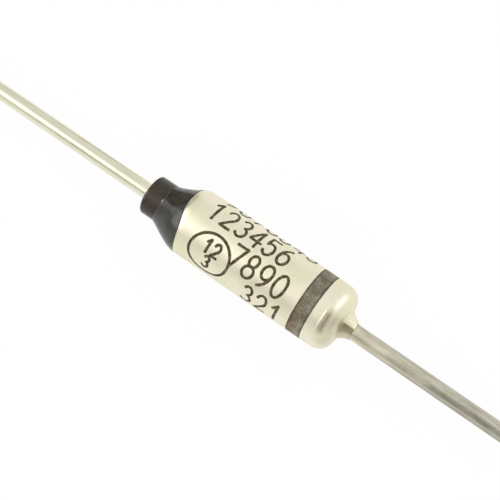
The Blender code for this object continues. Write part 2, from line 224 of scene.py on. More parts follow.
# Materials: each is built from a small dictionary and a few noise layers
class Shader:
    def __init__(self, name, base, metallic, roughness):
        self.material = bpy.data.materials.new(name)
        self.material.use_nodes = True
        self.nodes = self.material.node_tree.nodes
        self.links = self.material.node_tree.links
        self.main = self.nodes["Principled BSDF"]
        self.main.inputs["Base Color"].default_value = (*base, 1)
        self.main.inputs["Metallic"].default_value = metallic
        self.main.inputs["Roughness"].default_value = roughness
        self.place = self.nodes.new("ShaderNodeTexCoord").outputs["Object"]

    def stretched(self, scale):
        mapping = self.nodes.new("ShaderNodeMapping")
        mapping.inputs["Scale"].default_value = scale
        self.links.new(self.place, mapping.inputs["Vector"])
        return mapping.outputs["Vector"]

    # Noise by its size in millimetres, its detail and its roughness
    def noise(self, size, detail, roughness, stretch=(1, 1, 1)):
        node = self.nodes.new("ShaderNodeTexNoise")
        node.inputs["Scale"].default_value = 1 / (size * mm)
        node.inputs["Detail"].default_value = detail
        node.inputs["Roughness"].default_value = roughness
        self.links.new(self.stretched(stretch), node.inputs["Vector"])
        return node.outputs["Fac"]

    def ramp(self, factor, stops):
        node = self.nodes.new("ShaderNodeValToRGB")
        ramp = node.color_ramp
        while len(ramp.elements) < len(stops):
            ramp.elements.new(0.5)
        for element, (position, colour) in zip(ramp.elements, stops):
            element.position = position
            element.color = (*colour, 1)
        self.links.new(factor, node.inputs["Fac"])
        return node.outputs["Color"]

    # Spreads the middle part of a noise over a range
    def spread(self, factor, low, high):
        node = self.nodes.new("ShaderNodeMapRange")
        node.inputs["From Min"].default_value = 0.3
        node.inputs["From Max"].default_value = 0.7
        node.inputs["To Min"].default_value = low
        node.inputs["To Max"].default_value = high
        self.links.new(factor, node.inputs["Value"])
        return node.outputs["Result"]

    def math(self, operation, *values):
        return calc(self.material.node_tree, operation, *values)

    def inverse(self, value):
        return inverse(self.material.node_tree, value)

    # Two factors added, with the given share of the first
    def blend(self, first, second, share):
        first = self.math("MULTIPLY", first, share)
        return self.math("ADD", first, self.math("MULTIPLY", second, 1 - share))

    def colour(self, socket):
        self.links.new(socket, self.main.inputs["Base Color"])

    # Colour that goes from dark at low over the base at 0.5 to light at high
    def tones(self, factor, sizes, low, high):
        stops = [(low, sizes["dark"]), (0.50, sizes["base"]), (high, sizes["light"])]
        self.colour(self.ramp(factor, stops))

    def rough(self, socket):
        self.links.new(socket, self.main.inputs["Roughness"])

    def axis(self, name):
        split = self.nodes.new("ShaderNodeSeparateXYZ")
        self.links.new(self.place, split.inputs["Vector"])
        return split.outputs[name]

    # Soft step of one coordinate, from 0 below the edge to 1 above it, in millimetres
    def step(self, axis, edge, soft):
        return rise(self.material.node_tree, self.axis(axis), edge * mm, soft * mm)

    # Multiplies the colour by a tint, in the share that the factor gives
    def tint(self, factor, colour):
        mix = self.nodes.new("ShaderNodeMix")
        mix.data_type = "RGBA"
        mix.blend_type = "MULTIPLY"
        self.links.new(factor, mix.inputs[0])
        self.links.new(self.main.inputs["Base Color"].links[0].from_socket, mix.inputs[6])
        mix.inputs[7].default_value = (*colour, 1)
        self.colour(mix.outputs[2])

    # 1 between soft edges along the axes and 0 outside them
    def between(self, sizes):
        window = 1.0
        for axis, edge, side in sizes["edges"]:
            past = self.step(axis, edge, sizes["soft"])
            window = self.math("MULTIPLY", window, past if side > 0 else self.inverse(past))
        return window

    # Painted shade: a tint past one place along X and on one side of the axis. It partly fades out again
    # below the line Y = fadeSide - fadeLean (X - fromX)
    def paintSideShade(self, sizes):
        along = self.step("X", sizes["fromX"], sizes["softX"])
        side = self.inverse(self.step("Y", sizes["side"], sizes["softSide"]))
        past = self.math("SUBTRACT", self.axis("X"), sizes["fromX"] * mm)
        lower = self.math("ADD", self.axis("Y"), self.math("MULTIPLY", past, sizes["fadeLean"]))
        edge, soft = sizes["fadeSide"] * mm, sizes["fadeSoft"] * mm
        faded = self.inverse(rise(self.material.node_tree, lower, edge, soft))
        left = self.inverse(self.math("MULTIPLY", faded, sizes["fadeShare"]))
        side = self.math("MULTIPLY", side, left)
        self.tint(self.math("MULTIPLY", along, side), sizes["colour"])

    def bump(self, height, depth, strength):
        node = self.nodes.new("ShaderNodeBump")
        node.inputs["Distance"].default_value = depth * mm
        node.inputs["Strength"].default_value = strength
        self.links.new(height, node.inputs["Height"])
        self.links.new(node.outputs["Normal"], self.main.inputs["Normal"])


platedCase = {
    "dark": (0.825, 0.795, 0.57),
    "base": (0.855, 0.812, 0.62),
    "light": (0.89, 0.83, 0.66),
    "rough": (0.33, 0.43),
}


# Painted shade: the neck darker and browner on one side
neckPaintedShade = {
    "colour": (0.47, 0.42, 0.35),
    "fromX": 6.56,
    "softX": 0.06,
    "side": 0.13,
    "softSide": 0.07,
    "fadeSide": -0.50,
    "fadeSoft": 0.36,
    "fadeShare": 0.74,
    "fadeLean": -0.5,
}


# Painted reflection: a faint brown tint on the shoulder where the dark reflection falls, with ragged
# edges
shoulderPaintedReflection = {
    "gain": (0.84, 0.75, 0.74),
    "share": (0.1, 1.0),
    "soft": 0.16,
    "edges": [("X", 5.60, 1), ("X", 6.06, -1), ("Y", -1.15, 1), ("Y", 0.10, -1), ("Z", 0.3, 1)],
}


def platedMaterial():
    shader = Shader("champagne plate", platedCase["base"], metallic=1.0, roughness=0.36)
    tone = shader.noise(1.1, 4, 0.6)
    shader.tones(tone, platedCase, low=0.38, high=0.62)
    fine = shader.noise(0.09, 4, 0.65)
    shader.rough(shader.spread(fine, *platedCase["rough"]))
    # painted shade on one side of the neck
    shader.paintSideShade(neckPaintedShade)
    # painted reflection on the shoulder, with ragged edges
    ragged = shader.spread(shader.noise(0.22, 3, 0.6), *shoulderPaintedReflection["share"])
    shader.tint(shader.math("MULTIPLY", shader.between(shoulderPaintedReflection), ragged), shoulderPaintedReflection["gain"])
    shader.bump(fine, depth=0.0035, strength=0.5)
    return shader.material


tinnedWire = {
    "dark": (0.37, 0.345, 0.265),
    "base": (0.53, 0.505, 0.410),
    "light": (0.68, 0.65, 0.545),
    "rough": (0.24, 0.38),
}
# Painted light: near the neck the tin is painted brighter and creamier on one side
tinnedPaintedLight = {"gain": (1.28, 1.26, 1.20), "until": 11.0, "soft": 6.0, "side": 0.30, "softSide": 0.20}


def wireMaterial(name, sizes, lineDepth):
    shader = Shader(name, sizes["base"], 1.0, sum(sizes["rough"]) / 2)
    drawLines = shader.noise(0.07, 3, 0.6, stretch=(0.03, 1, 1))
    blotch = shader.noise(0.5, 4, 0.6, stretch=(0.35, 1, 1))
    mixed = shader.blend(drawLines, blotch, share=0.5)
    shader.tones(mixed, sizes, low=0.34, high=0.66)
    shader.rough(shader.spread(blotch, *sizes["rough"]))
    shader.bump(mixed, lineDepth, strength=0.6)
    return shader


def tinnedMaterial():
    shader = wireMaterial("dull tinned wire", tinnedWire, lineDepth=0.004)
    # painted light on one side of the lead near the neck
    near = shader.inverse(shader.step("X", tinnedPaintedLight["until"], tinnedPaintedLight["soft"]))
    side = shader.inverse(shader.step("Y", tinnedPaintedLight["side"], tinnedPaintedLight["softSide"]))
    shader.tint(shader.math("MULTIPLY", near, side), tinnedPaintedLight["gain"])
    return shader.material


silveredWire = {
    "dark": (0.76, 0.735, 0.56),
    "base": (0.81, 0.785, 0.61),
    "light": (0.86, 0.835, 0.66),
    "rough": (0.12, 0.20),
}
brownCeramic = {
    "dark": (0.014, 0.008, 0.003),
    "base": (0.023, 0.0135, 0.0045),
    "light": (0.036, 0.022, 0.009),
}


def ceramicMaterial():
    shader = Shader("brown ceramic", brownCeramic["base"], metallic=0.0, roughness=0.42)
    grain = shader.noise(0.12, 5, 0.65)
    cloud = shader.noise(0.9, 2, 0.5)
    shader.tones(shader.blend(grain, cloud, share=0.45), brownCeramic, low=0.36, high=0.64)
    shader.rough(shader.spread(grain, low=0.20, high=0.32))
    shader.bump(grain, depth=0.006, strength=0.5)
    return shader.material


darkResin = {
    "dark": (0.020, 0.0190, 0.0135),
    "base": (0.032, 0.0305, 0.0225),
    "light": (0.052, 0.049, 0.036),
}


# Painted highlight: a bright glint at the resin's foot, between edges along X and Y on the upper half
resinPaintedGlint = {
    "gain": (14.0, 14.0, 16.0),
    "soft": 0.05,
    "edges": [("X", -6.14, 1), ("X", -6.03, -1), ("Y", -0.09, 1), ("Y", 0.09, -1), ("Z", 0.5, 1)],
}


def resinMaterial():
    shader = Shader("dark resin", darkResin["base"], metallic=0.0, roughness=0.22)
    cloud = shader.noise(0.7, 3, 0.5)
    shader.tones(cloud, darkResin, low=0.34, high=0.66)
    # painted highlight at the resin's foot
    shader.tint(shader.between(resinPaintedGlint), resinPaintedGlint["gain"])
    skin = shader.noise(0.25, 3, 0.5)
    shader.rough(shader.spread(skin, low=0.09, high=0.17))
    shader.bump(skin, depth=0.008, strength=0.35)
    return shader.material


markingInk = {
    "dark": (0.026, 0.016, 0.003),
    "base": (0.072, 0.052, 0.020),
    "light": (0.20, 0.165, 0.09),
    "specular": 0.35,
}


def inkMaterial():
    shader = Shader("olive marking ink", markingInk["base"], metallic=0.0, roughness=0.55)
    patch = shader.noise(0.16, 4, 0.6)
    shader.main.inputs["Specular IOR Level"].default_value = markingInk["specular"]
    shader.tones(patch, markingInk, low=0.35, high=0.68)
    shader.bump(patch, depth=0.002, strength=0.4)
    return shader.material


bandInk = {
    "dark": (0.055, 0.044, 0.026),
    "base": (0.170, 0.147, 0.096),
    "light": (0.385, 0.349, 0.252),
    "rim": 0.10,
    "rimTone": 0.10,
    "brown": (0.80, 0.60, 0.34),
    "brownWidth": 0.55,
    "brownSide": 0.2,
    "brownSoft": 1.6,
}
band = {
    "start": 3.93,
    "end": 4.89,
    "height": 0.0045,
    "depth": 0.02,
    "edgeWave": 0.012,
    "edgeCounts": (7, 13, 23, 41),
    "edgeTurn": 90,
    "lipShare": 0.03,
    "steps": 360,
    "across": 40,
}


def bandMaterial():
    shader = Shader("grey brown band ink", bandInk["base"], metallic=0.0, roughness=0.5)
    speckle = shader.noise(0.06, 5, 0.75)
    patch = shader.noise(0.6, 2, 0.5)
    mixed = shader.blend(speckle, patch, share=0.7)
    rims = shader.inverse(shader.step("X", band["start"] + bandInk["rim"], bandInk["rim"]))
    rims = shader.math("MAXIMUM", rims, shader.step("X", band["end"] - bandInk["rim"], bandInk["rim"]))
    mixed = shader.math("SUBTRACT", mixed, shader.math("MULTIPLY", rims, bandInk["rimTone"]))
    shader.tones(mixed, bandInk, low=0.38, high=0.62)
    width = bandInk["brownWidth"]
    near = shader.inverse(shader.step("X", band["start"] + width / 2, width))
    front = shader.inverse(shader.step("Y", bandInk["brownSide"], bandInk["brownSoft"]))
    shader.tint(shader.math("MULTIPLY", near, front), bandInk["brown"])
    shader.bump(speckle, depth=0.003, strength=0.5)
    return shader.material


plateMat = platedMaterial()
tinnedMat = tinnedMaterial()
silverMat = wireMaterial("bright silvered wire", silveredWire, lineDepth=0.002).material
ceramicMat = ceramicMaterial()
resinMat = resinMaterial()
inkMat = inkMaterial()
bandMat = bandMaterial()
print("outer materials ready")

# Case: the drawn cup, as a skin just inside the solid's outline
caseSkin = {
    "wall": 0.28,
    "mouthWall": 0.20,
    "endWall": 0.30,
    "skinInset": 0.008,
    "draft": 0.034,
    "draftFrom": 0.0,
    "mouthTaper": 0.05,
    "mouthTaperFrom": -3.85,
    "mouthTaperLength": 0.26,
    "endRounding": 0.95,
    "curlRadius": 0.85,
    "curlAngle": 75,
    "neckLength": 0.68,
    "faceWidth": 0.15,
    "holeRadius": 0.53,
    "tipWall": 0.025,
    "lipRounding": 0.012,
    "waistHeight": 0.21,
    "waistDepth": 0.018,
    "neckOffset": 0.055,
    "swageDepth": 0.10,
    "swageTurn": -10,
    "ridgeHeight": 0.007,
    "ridgeWidth": 0.06,
    "ridgeBack": 0.02,
    "ledgeX": bushHigh[0] + 0.02,
    "seamBack": 0.2,
    "draftPower": 1.3,
    "wave": 0.0030,
    "waveFade": 0.5,
    "waveEnd": 1.2,
    "crimpWave": 0.0036,
    "crimpCount": 14,
    "crimpPhase": 0.7,
    "crimpFrom": 1.0,
    "crimpFade": 0.9,
    "neckFade": 0.06,
    "tipFade": 0.3,
    "flatFade": 0.35,
    "steps": 256,
}
curlX = caseLow[0] + caseSkin["curlRadius"] * math.sin(math.radians(caseSkin["curlAngle"]))
curlCentre = caseRadius - caseSkin["curlRadius"]


# Quadratic curve through a corner: (1-t)^2 start + 2t(1-t) corner + t^2 end
def quadratic(start, middle, end, count):
    t = np.linspace(0, 1, count + 1)[:, None]
    return (1 - t) ** 2 * np.array(start) + 2 * t * (1 - t) * np.array(middle) + t ** 2 * np.array(end)


def caseSection(sizes):
    outer = caseRadius - sizes["skinInset"]
    neckTip = caseHigh[0]
    endX = neckTip - sizes["neckLength"]
    flatRadius = caseRadius - sizes["endRounding"]
    lip = sizes["lipRounding"]
    tipRadius = sizes["holeRadius"] + sizes["tipWall"]
    neckBase = (endX, flatRadius - sizes["faceWidth"])
    waist = (endX + sizes["waistHeight"], (neckBase[1] + tipRadius) / 2 - sizes["waistDepth"])
    mouthRadius = caseRadius - sizes["mouthWall"]
    bore = caseRadius - sizes["wall"]
    floorX = endX - sizes["endWall"]
    innerRounding = sizes["endRounding"] - sizes["wall"]
    endCurve = sizes["endRounding"] - sizes["skinInset"]
    curl = sizes["curlRadius"] - sizes["skinInset"]
    roundX = endX - sizes["endRounding"]
    seamX = roundX - sizes["seamBack"]
    return joinSection([
        corner(neckTip - lip, tipRadius - lip, lip, -90, 0, 6),
        quadratic((neckTip - 2 * lip, tipRadius), waist, neckBase, 24),
        straight(neckBase, (endX, flatRadius), 4),
        corner(roundX, flatRadius, endCurve, -90, 0, 28),
        straight((roundX, outer), (seamX, outer), 12),
        straight((seamX, outer), (curlX, outer), 60),
        corner(curlX, curlCentre, curl, 0, sizes["curlAngle"], 24),
        corner(curlX, curlCentre, sizes["curlRadius"] - sizes["mouthWall"], sizes["curlAngle"], 0, 12),
        (sizes["ledgeX"], mouthRadius),
        (sizes["ledgeX"], bore),
        corner(floorX - innerRounding, bore - innerRounding, innerRounding, 0, -90, 8),
        (floorX, sizes["holeRadius"]),
        (neckTip, sizes["holeRadius"]),
    ])


# How far the skin stands off a true cylinder: slow waves, the draft towards the closed
# end as draft * t^1.3 with t from 0 to 1 along x, a low forming ridge where the end begins,
# and a taper before the curl whose slope grows over its length and then stays
def skinOffset(x, phi):
    sizes = caseSkin
    endX = caseHigh[0] - sizes["neckLength"] - sizes["endRounding"]
    slow = unevenness(3, x, phi, (0.9, 1.7, 2.6, 0.5), (2, 3, 1, 5)) * sizes["wave"]
    fade = sizes["waveFade"]
    body = np.clip((x - caseLow[0]) / fade, 0, 1)
    body = body * np.clip((caseHigh[0] - sizes["waveEnd"] - x) / fade, 0, 1)
    along = np.clip((x - sizes["draftFrom"]) / (endX - sizes["draftFrom"]), 0, 1)
    ridge = np.exp(-((x - endX + sizes["ridgeBack"]) / sizes["ridgeWidth"]) ** 2)
    past = np.clip(sizes["mouthTaperFrom"] - x, 0, None)
    length = sizes["mouthTaperLength"]
    taper = sizes["mouthTaper"] * np.where(past < length, past ** 2 / (2 * length), past - length / 2)
    draft = sizes["draft"] * along ** sizes["draftPower"]
    return slow * body - draft + sizes["ridgeHeight"] * ridge - taper


# The skin's offset outside, shallow tool marks round the curl, and the neck set off
# centre with four soft flats, depth * (1 - |cos 2(phi - turn)|), where it was pressed
def caseBump(x, radius, phi):
    sizes = caseSkin
    nearMouth = np.clip((caseLow[0] + sizes["crimpFrom"] - x) / sizes["crimpFade"], 0, 1)
    crimp = np.abs(np.sin(phi * sizes["crimpCount"] + sizes["crimpPhase"])) * sizes["crimpWave"]
    outerSide = radius > caseRadius - sizes["wall"] * 1.2
    endX = caseHigh[0] - sizes["neckLength"]
    rounded = np.clip((endX - x) / sizes["endRounding"], 0, 1)
    drafted = skinOffset(x, phi) * np.where(x > endX - sizes["endRounding"], rounded, 1.0)
    onNeck = np.clip((x - endX) / sizes["neckFade"], 0, 1)
    onNeck = onNeck * np.clip((caseHigh[0] - x) / sizes["tipFade"], 0, 1)
    onNeck = onNeck * (radius > sizes["holeRadius"] + 0.005)
    offCentre = -np.sin(phi) * sizes["neckOffset"] * onNeck
    flats = 1 - np.abs(np.cos(2 * (phi - math.radians(sizes["swageTurn"]))))
    flats = flats * np.clip((radius - sizes["holeRadius"]) / sizes["flatFade"], 0, 1)
    offCentre = offCentre - flats * sizes["swageDepth"] * onNeck
    return np.where(outerSide, drafted - crimp * nearMouth, 0.0) + offCentre


def makeCase():
    grid = turnedGrid(caseSection(caseSkin), caseSkin["steps"], caseBump)
    piece = addRing("case_skin", grid, plateMat)
    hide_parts("case")


makeCase()
print("case made")

# Leads: drawn round wire with headed inner ends
caseWire = {
    "radius": 0.495,
    "chamfer": 0.06,
    "headEdge": 0.06,
    "headThickness": 0.25,
    "steps": 64,
    "rings": 90,
    "wave": 0.0035,
    "waveFrom": 0.4,
}
isolatedWire = {
    "radius": 0.5,
    "chamfer": 0.06,
    "headEdge": 0.06,
    "headLength": 1.25,
    "dome": 0.12,
    "offset": 0.018,
    "lean": 0.002,
    "steps": 64,
    "rings": 90,
    "wave": 0.0015,
    "waveFrom": 0.3,
}
wireFade = {"near": 0.6, "endClear": 0.5, "end": 2.0}


# Grows from 0 to 1 past the case and falls back to 0 before the lead's end
def freeLength(pastCase, beforeEnd):
    growing = np.clip(pastCase / wireFade["near"], 0, 1)
    return growing * np.clip((beforeEnd - wireFade["endClear"]) / wireFade["end"], 0, 1)


# A closed turned piece whose section starts and ends on the axis
def addTurnedSolid(name, section, steps, bump, material):
    inner = section[1:-1]
    grid = turnedGrid(inner, steps, bump).reshape(-1, 3)
    poles = np.array([[section[0, 0], 0, 0], [section[-1, 0], 0, 0]])
    points = np.concatenate([grid, poles])
    body = gridFaces(len(inner), steps, False, True)
    first = poleFaces(0, steps, len(grid), True)
    last = poleFaces((len(inner) - 1) * steps, steps, len(grid) + 1, False)
    return addPiece(name, points, [body, first, last], material)


def makeCaseWire():
    sizes = caseWire
    radius, chamfer, edge = sizes["radius"], sizes["chamfer"], sizes["headEdge"]
    endX, headX, headRadius = wireHigh[0], wireLow[0], wireHigh[1]
    baseX = headX + sizes["headThickness"]
    section = joinSection([
        (endX, 0),
        (endX, radius - chamfer),
        straight((endX - chamfer, radius), (baseX, radius), sizes["rings"]),
        (baseX, headRadius - edge),
        corner(baseX - edge, headRadius - edge, edge, -90, 0, 4),
        corner(headX + edge, headRadius - edge, edge, 0, 90, 4),
        (headX, 0),
    ])

    def bump(x, r, phi):
        free = freeLength(x - caseHigh[0] - sizes["waveFrom"], endX - x)
        return unevenness(11, x, phi, (2.1, 3.7, 5.3, 0.7), (2, 1, 3, 2)) * sizes["wave"] * free

    piece = addTurnedSolid("tinned_wire", section, sizes["steps"], bump, tinnedMat)
    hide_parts("case_lead")


def makeIsolatedWire():
    sizes = isolatedWire
    radius, chamfer, edge = sizes["radius"], sizes["chamfer"], sizes["headEdge"]
    endX, faceX, headRadius = isolatedLow[0], isolatedHigh[0], isolatedHigh[1]
    baseX = faceX - sizes["headLength"]
    dome = quadratic((faceX, 0), (faceX, headRadius * 0.6), (faceX - sizes["dome"], headRadius - edge), 8)
    section = joinSection([
        dome,
        corner(faceX - sizes["dome"] - edge, headRadius - edge, edge, -60, 0, 3),
        corner(baseX + edge, headRadius - edge, edge, 0, 90, 4),
        straight((baseX, radius), (endX + chamfer, radius), sizes["rings"]),
        (endX, radius - chamfer),
        (endX, 0),
    ])

    def bump(x, r, phi):
        free = freeLength(bushLow[0] - sizes["waveFrom"] - x, x - endX)
        waves = unevenness(17, x, phi, (1.3, 2.9, 0.6), (1, 2, 2)) * sizes["wave"] * free
        leaning = sizes["offset"] * np.clip(bushLow[0] + 2 - x, 0, 1)
        leaning = leaning + sizes["lean"] * np.clip(bushLow[0] - x, 0, None)
        return waves + leaning * np.sin(phi)

    piece = addTurnedSolid("silvered_wire", section, sizes["steps"], bump, silverMat)
    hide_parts("isolated_lead")


makeCaseWire()
makeIsolatedWire()
print("leads made")

# Bushing: ceramic sleeve, its nose out of the mouth and its flange under the curl
sleeve = {
    "noseRadius": 1.245,
    "noseRounding": 0.2,
    "noseInset": 0.004,
    "holeRadius": 0.53,
    "holeRounding": 0.05,
    "flangeLength": 2.7,
    "flangeChamfer": 0.15,
    "shoulderRadius": 0.62,
    "noseOffset": 0.020,
    "wave": 0.005,
    "steps": 192,
}


def makeBushing():
    sizes = sleeve
    faceX, tipX = bushHigh[0], bushLow[0]
    flangeRadius = bushHigh[1]
    shoulderX = faceX - sizes["flangeLength"]
    shoulderEndX = shoulderX + sizes["shoulderRadius"]
    centreRadius = flangeRadius - sizes["shoulderRadius"]
    nose = sizes["noseRadius"] - sizes["noseInset"]
    rounding, hole, soft = sizes["noseRounding"], sizes["holeRadius"], sizes["holeRounding"]
    section = joinSection([
        (faceX, hole),
        (faceX, flangeRadius - sizes["flangeChamfer"]),
        (faceX - sizes["flangeChamfer"], flangeRadius),
        corner(shoulderEndX, centreRadius, sizes["shoulderRadius"], 0, 90, 10),
        straight((shoulderX, nose), (tipX + rounding, nose), 30),
        corner(tipX + rounding, nose - rounding, rounding, 0, 90, 14),
        (tipX, hole + soft),
        corner(tipX + soft, hole + soft, -soft, 90, 0, 6),
    ])

    def bump(x, r, phi):
        onNose = (r > nose - 0.02) & (x < shoulderX)
        worn = unevenness(23, x, phi, (2.2, 4.1, 1.2), (3, 2, 5)) * sizes["wave"]
        return np.where(onNose, worn + sizes["noseOffset"] * np.sin(phi), 0.0)

    grid = turnedGrid(section, sizes["steps"], bump)
    piece = addRing("ceramic_sleeve", grid, ceramicMat)
    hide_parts("bushing")


makeBushing()
print("bushing made")

# Resin: laid by hand from the nose over the curled mouth, and fuller on one side
resin = {
    "noseCover": 1.2,
    "gap": 0.02,
    "edgeHigh": 38,
    "edgeLow": -4,
    "lowSide": 55,
    "poolHalfWidth": 54,
    "poolSoftness": 0.285,
    "bulge": 0.36,
    "hollow": 0.10,
    "curlFilm": 0.004,
    "noseFilm": 0.002,
    "footHeight": 0.006,
    "edgeHeight": 0.012,
    "pastRim": 2.0,
    "farFoot": 0.2,
    "skinWave": 0.012,
    "meniscus": 0.035,
    "meniscusLength": 0.09,
    "meniscusStart": 0.03,
    "steps": 256,
    "along": 60,
}
# Waves of the resin's edge in degrees and of its foot in millimetres: height, count, phase
edgeWaves = [(1.6, 2, 0.4), (1.0, 5, 0.0)]
footWaves = [(0.03, 3, 1.0), (0.02, 2, 2.0)]


def ringWaves(waves, phi):
    return sum(height * np.sin(count * phi + phase) for height, count, phase in waves)


# Each section of the resin is a cubic curve from the nose to the edge on the curl, then
# the way back under the curl. The edge lies at an angle on the curl that falls from high
# to low where the resin pooled: high - (high - low) * (1 + tanh((cos(phi - side) - c) / s)) / 2.
# The foot on the nose lies further in on the far side, by farFoot * (-sin(phi))^3, and the
# curve stands out by bulge * ((1 + lean) / 2)^2 - hollow, where lean is cos(phi - side)
def makeResin():
    sizes = resin
    phi = np.linspace(0, 2 * np.pi, sizes["steps"], endpoint=False)
    lean = np.cos(phi - np.radians(sizes["lowSide"]))
    under = caseSkin["curlRadius"] + sizes["curlFilm"]
    poolEdge = math.cos(math.radians(sizes["poolHalfWidth"]))
    pool = np.tanh((lean - poolEdge) / sizes["poolSoftness"]) / 2 + 0.5
    edge = sizes["edgeHigh"] - (sizes["edgeHigh"] - sizes["edgeLow"]) * pool
    edge = np.radians(edge + ringWaves(edgeWaves, phi))
    startX = caseLow[0] - sizes["noseCover"] + ringWaves(footWaves, phi)
    startX = startX + sizes["farFoot"] * np.clip(-np.sin(phi), 0, 1) ** 3
    noseSkin = sleeve["noseRadius"] + sizes["noseFilm"] + sleeve["noseOffset"] * np.sin(phi)
    start = np.stack([startX, noseSkin + sizes["footHeight"]])
    skin = under + sizes["edgeHeight"]
    endX = curlX - skin * np.sin(edge)
    end = np.stack([endX, curlCentre + skin * np.cos(edge) + skinOffset(endX, phi)])
    third = (end - start) / 3
    bulge = sizes["bulge"] * ((1 + lean) / 2) ** 2 - sizes["hollow"]
    first = start + third + np.stack([0 * phi, bulge / 4])
    second = end - third + np.stack([0 * phi, bulge])
    t = np.linspace(0, 1, sizes["along"] + 1)[:, None, None]
    curve = (1 - t) ** 3 * start + 3 * t * (1 - t) ** 2 * first
    curve = curve + 3 * t ** 2 * (1 - t) * second + t ** 3 * end
    t = t[:, 0]
    slow = unevenness(31, curve[:, 0], phi[None, :], (1.5, 3.1, 5.0), (2, 3, 4))
    curve[:, 1] += slow * sizes["skinWave"] * np.sin(np.pi * t) ** 0.7
    meniscus = sizes["meniscus"] * np.exp(-t / sizes["meniscusLength"])
    curve[:, 1] += meniscus * np.minimum(t / sizes["meniscusStart"], 1)
    pastRim = np.radians(caseSkin["curlAngle"] + sizes["pastRim"])
    back = np.linspace(0, 1, 9)[:, None]
    turn = edge + (pastRim - edge) * back
    underX = curlX - under * np.sin(turn)
    underCurl = np.stack([underX, curlCentre + under * np.cos(turn) + skinOffset(underX, phi)], axis=1)
    shoulderX = bushHigh[0] - sleeve["flangeLength"]
    inner = caseSkin["curlRadius"] - caseSkin["mouthWall"]
    corners = [
        (curlX - inner * math.sin(pastRim), curlCentre + inner * math.cos(pastRim)),
        (shoulderX - sizes["gap"], curlCentre + sizes["gap"]),
        (shoulderX - sizes["gap"], noseSkin),
    ]
    rest = np.array([[np.full_like(phi, x), r + 0 * phi] for x, r in corners])
    foot = np.stack([startX, noseSkin])[None]
    section = np.concatenate([curve, underCurl, rest, foot])
    grid = around(section[:, 0], section[:, 1], phi)
    piece = addRing("resin_cone", grid, resinMat, sharpAngle=50)
    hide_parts("resin_seal")


makeResin()
print("resin made")

# Marking: plain digits and a ring, drawn as low strokes of ink on the case
marking = {
    "strokeWidth": 0.178,
    "inkHeight": 0.0045,
    "inkDepth": 0.02,
    "pointSpacing": 0.025,
    "profileSteps": 12,
    "surface": caseRadius - caseSkin["skinInset"],
    "digitWidth": 0.78,
    "digitHeight": 1.36,
    "pitch": 0.945,
    "slant": 0.06,
    "capLength": 0.9,
    "capSteps": 5,
    "widthWaves": [(0.05, 9), (0.04, 23)],
}
# Rows: text, x of the first digit's left side, angle of the row's middle from the top, size factor
markingRows = [
    ("9876543", -3.05, -87.0, 1.0),
    ("123456", -3.33, -40.0, 1.0),
    ("7890", -0.82, 7.5, 1.05),
    ("321", 0.72, 54.5, 1.0),
]
ringMark = {
    "x": -1.85,
    "angle": 31.0,
    "radius": 1.32,
    "digitSize": 0.62,
    "rowShift": 0.58,
    "pairShift": 0.92,
    "singleShift": 0.42,
}
# Digit strokes in a box one wide and one high: lines as two points, arcs as
# centre, half-width, half-height, first and last angle
digitStrokes = {
    "0": [("arc", 0.5, 0.5, 0.42, 0.5, 90, 450)],
    "1": [("line", 0.22, 0.76, 0.56, 1.0), ("line", 0.56, 1.0, 0.56, 0.0)],
    "2": [
        ("arc", 0.48, 0.70, 0.38, 0.30, 165, -38),
        ("line", 0.78, 0.515, 0.10, 0.0),
        ("line", 0.10, 0.0, 0.90, 0.0),
    ],
    "3": [("arc", 0.46, 0.755, 0.34, 0.245, 150, -80), ("arc", 0.46, 0.255, 0.40, 0.255, 80, -150)],
    "4": [("line", 0.70, 0.0, 0.7, 1.0), ("line", 0.7, 1.0, 0.06, 0.3), ("line", 0.06, 0.3, 0.95, 0.3)],
    "5": [
        ("line", 0.84, 1.0, 0.20, 1.0),
        ("line", 0.20, 1.0, 0.14, 0.58),
        ("arc", 0.46, 0.325, 0.40, 0.325, 142, -150),
    ],
    "6": [("arc", 0.50, 0.31, 0.40, 0.31, 180, 540), ("arc", 0.98, 0.31, 0.88, 0.69, 180, 108)],
    "7": [("line", 0.06, 1.0, 0.92, 1.0), ("line", 0.92, 1.0, 0.36, 0.0)],
    "8": [("arc", 0.5, 0.755, 0.33, 0.245, 90, 450), ("arc", 0.5, 0.265, 0.41, 0.265, 90, 450)],
    "9": [("arc", 0.50, 0.69, 0.40, 0.31, 0, 360), ("arc", 0.02, 0.69, 0.88, 0.69, 0, -72)],
}


def pathLengths(path):
    return np.concatenate([[0], np.cumsum(np.linalg.norm(np.diff(path, axis=0), axis=1))])


# Centre line of one stroke on the flat label, as (along x, upwards)
def strokePath(stroke, left, base, width, height, slant):
    if stroke[0] == "line":
        x0, y0, x1, y1 = stroke[1:]
        rough = np.stack([np.linspace(x0, x1, 60), np.linspace(y0, y1, 60)], axis=-1)
    else:
        cx, cy, halfWidth, halfHeight, first, last = stroke[1:]
        angle = np.radians(np.linspace(first, last, 200))
        rough = np.stack([cx + halfWidth * np.cos(angle), cy + halfHeight * np.sin(angle)], axis=-1)
    slanted = left + width * rough[:, 0] + slant * rough[:, 1] * height
    path = np.stack([slanted, base + height * rough[:, 1]], axis=-1)
    length = pathLengths(path)
    count = max(int(length[-1] / marking["pointSpacing"]), 6)
    even = np.linspace(0, length[-1], count)
    return np.stack([np.interp(even, length, path[:, 0]), np.interp(even, length, path[:, 1])], axis=-1)


